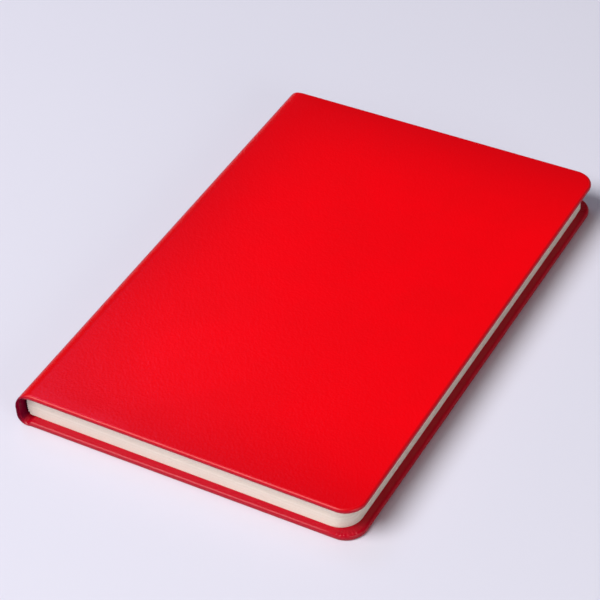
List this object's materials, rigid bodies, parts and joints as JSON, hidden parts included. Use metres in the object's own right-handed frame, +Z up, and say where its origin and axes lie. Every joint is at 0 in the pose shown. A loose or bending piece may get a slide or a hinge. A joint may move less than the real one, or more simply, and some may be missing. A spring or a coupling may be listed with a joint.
{
  "type": "hard-cover notebook",
  "caption": "Closed A5 notebook in a red leather case with a round hollow spine; its sewn ivory signatures open at the middle as the front cover is turned back.",
  "frame": {"origin": "on the table, under the middle of the closed notebook's outline", "axes": "+X from the spine to the fore edge, +Y from tail to head, +Z up through the front cover"},
  "size_m": [0.145, 0.21, 0.0158],
  "materials": {
    "leather": "satin",
    "board": "matte",
    "pages": "matte",
    "endpaper": "matte",
    "thread": "matte",
    "gauze": "matte"
  },
  "bodies": {
    "rear_cover": {"rear_cover_leather": "leather", "rear_board": "board", "rear_pastedown": "endpaper", "rear_flyleaf": "endpaper", "spine_mull": "gauze", "sewing_thread": "thread"},
    "spine": {"spine_leather": "leather", "spine_inlay": "board"},
    "front_cover": {"front_cover_leather": "leather", "front_board": "board", "front_pastedown": "endpaper"},
    "signature_10": {"signature_10": "pages"},
    "signature_09": {"signature_09": "pages"},
    "signature_08": {"signature_08": "pages"},
    "signature_07": {"signature_07": "pages"},
    "signature_06": {"signature_06": "pages"},
    "signature_05": {"signature_05": "pages"},
    "signature_04": {"signature_04": "pages"},
    "signature_03": {"signature_03": "pages"},
    "signature_02": {"signature_02": "pages"},
    "signature_01": {"signature_01": "pages"},
    "front_flyleaf": {"front_flyleaf": "endpaper"}
  },
  "joints": [
    {"name": "rear_joint", "type": "hinge", "parent": "rear_cover", "child": "spine", "pos_m": [-0.07118, 0, 0.00132], "axis": [0, -1, 0], "range_deg": [0, 90]},
    {"name": "front_joint", "type": "hinge", "parent": "spine", "child": "front_cover", "pos_m": [-0.0703, 0, 0.0136], "axis": [0, -1, 0], "range_deg": [0, 90]},
    {"name": "fold_10", "type": "hinge", "parent": "rear_cover", "child": "signature_10", "pos_m": [-0.06993, 0, 0.00255], "axis": [0, -1, 0], "range_deg": [0, 0.9]},
    {"name": "fold_09", "type": "hinge", "parent": "signature_10", "child": "signature_09", "pos_m": [-0.07046, 0, 0.00362], "axis": [0, -1, 0], "range_deg": [0, 1.8]},
    {"name": "fold_08", "type": "hinge", "parent": "signature_09", "child": "signature_08", "pos_m": [-0.07058, 0, 0.00469], "axis": [0, -1, 0], "range_deg": [0, 1.8]},
    {"name": "fold_07", "type": "hinge", "parent": "signature_08", "child": "signature_07", "pos_m": [-0.07058, 0, 0.00576], "axis": [0, -1, 0], "range_deg": [0, 2.7]},
    {"name": "fold_06", "type": "hinge", "parent": "signature_07", "child": "signature_06", "pos_m": [-0.07058, 0, 0.00683], "axis": [0, -1, 0], "range_deg": [0, 2.7]},
    {"name": "fold_05", "type": "hinge", "parent": "signature_06", "child": "signature_05", "pos_m": [-0.07054, 0, 0.0079], "axis": [0, -1, 0], "range_deg": [0, 155.7], "deforming": ["spine_mull", "sewing_thread"]},
    {"name": "fold_04", "type": "hinge", "parent": "signature_05", "child": "signature_04", "pos_m": [-0.07034, 0, 0.00897], "axis": [0, -1, 0], "range_deg": [0, 2.7]},
    {"name": "fold_03", "type": "hinge", "parent": "signature_04", "child": "signature_03", "pos_m": [-0.06992, 0, 0.01004], "axis": [0, -1, 0], "range_deg": [0, 2.7]},
    {"name": "fold_02", "type": "hinge", "parent": "signature_03", "child": "signature_02", "pos_m": [-0.06924, 0, 0.01111], "axis": [0, -1, 0], "range_deg": [0, 1.8]},
    {"name": "fold_01", "type": "hinge", "parent": "signature_02", "child": "signature_01", "pos_m": [-0.06815, 0, 0.01218], "axis": [0, -1, 0], "range_deg": [0, 1.8]},
    {"name": "flyleaf_fold", "type": "hinge", "parent": "signature_01", "child": "front_flyleaf", "pos_m": [-0.06796, 0, 0.01325], "axis": [0, -1, 0], "range_deg": [0, 0.9]}
  ],
  "couplings": [
    {"joint": "front_joint", "follows": "rear_joint", "ratio": 1},
    {"joint": "fold_10", "follows": "rear_joint", "ratio": 0.01},
    {"joint": "fold_09", "follows": "rear_joint", "ratio": 0.02},
    {"joint": "fold_08", "follows": "rear_joint", "ratio": 0.02},
    {"joint": "fold_07", "follows": "rear_joint", "ratio": 0.03},
    {"joint": "fold_06", "follows": "rear_joint", "ratio": 0.03},
    {"joint": "fold_05", "follows": "rear_joint", "ratio": 1.73},
    {"joint": "fold_04", "follows": "rear_joint", "ratio": 0.03},
    {"joint": "fold_03", "follows": "rear_joint", "ratio": 0.03},
    {"joint": "fold_02", "follows": "rear_joint", "ratio": 0.02},
    {"joint": "fold_01", "follows": "rear_joint", "ratio": 0.02},
    {"joint": "flyleaf_fold", "follows": "rear_joint", "ratio": 0.01}
  ]
}
